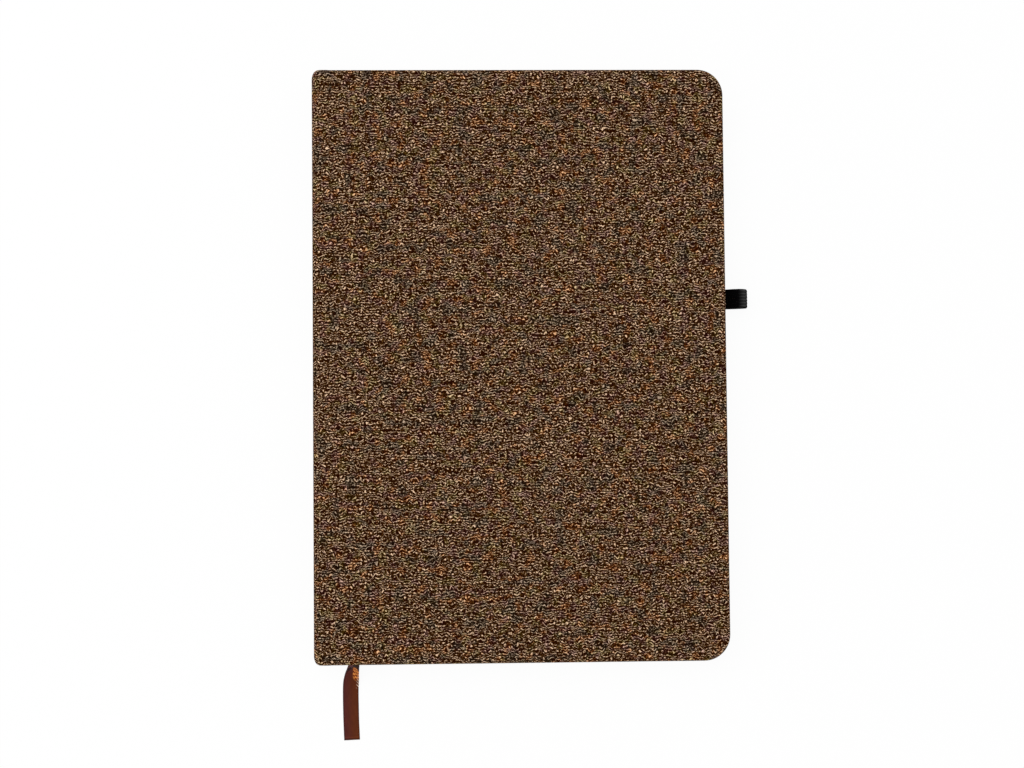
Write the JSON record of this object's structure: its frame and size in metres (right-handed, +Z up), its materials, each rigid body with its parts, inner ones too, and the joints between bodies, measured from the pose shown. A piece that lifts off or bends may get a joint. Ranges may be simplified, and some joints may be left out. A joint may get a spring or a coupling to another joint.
{
  "type": "notepad",
  "caption": "Case-bound notebook with rounded corners, cloth-covered boards that open at the spine, a side pen loop and a ribbon marker.",
  "frame": {"origin": "centre of the back cover's outer face, which lies on the surface", "axes": "+X from the spine to the fore edge, +Y from tail to head, +Z up from the back cover to the front cover"},
  "size_m": [0.1563, 0.2379, 0.015],
  "materials": {
    "cover_cloth": "heathered tweed weave in tan and dark brown with small coloured flecks",
    "board": "plain grey board",
    "lining": "thin open-weave lining cloth",
    "endpaper": "plain cream uncoated paper",
    "pages": "plain ivory writing paper, cut edges",
    "band": "brown woven band",
    "elastic": "black ribbed elastic",
    "ribbon": "brown satin ribbon"
  },
  "bodies": {
    "book_block": {"page_block": "pages", "front_flyleaf": "endpaper", "back_flyleaf": "endpaper", "spine_lining": "lining", "head_band": "band", "tail_band": "band", "spine_card": "board", "spine_cloth": "cover_cloth", "front_hinge_cloth": "cover_cloth", "back_hinge_cloth": "cover_cloth", "ribbon_marker": "ribbon"},
    "front_cover": {"front_board": "board", "front_cover_cloth": "cover_cloth", "front_joint_strip": "lining", "front_pastedown": "endpaper"},
    "back_cover": {"back_board": "board", "back_cover_cloth": "cover_cloth", "back_joint_strip": "lining", "back_pastedown": "endpaper", "pen_loop": "elastic"}
  },
  "joints": [
    {"name": "front_hinge", "type": "hinge", "parent": "book_block", "child": "front_cover", "pos_m": [-0.07025, 0, 0.01185], "axis": [0, -1, 0], "range_deg": [0, 180], "deforming": ["front_hinge_cloth"]},
    {"name": "back_hinge", "type": "hinge", "parent": "book_block", "child": "back_cover", "pos_m": [-0.07025, 0, 0.00315], "axis": [0, 1, 0], "range_deg": [0, 180], "deforming": ["back_hinge_cloth"]}
  ]
}
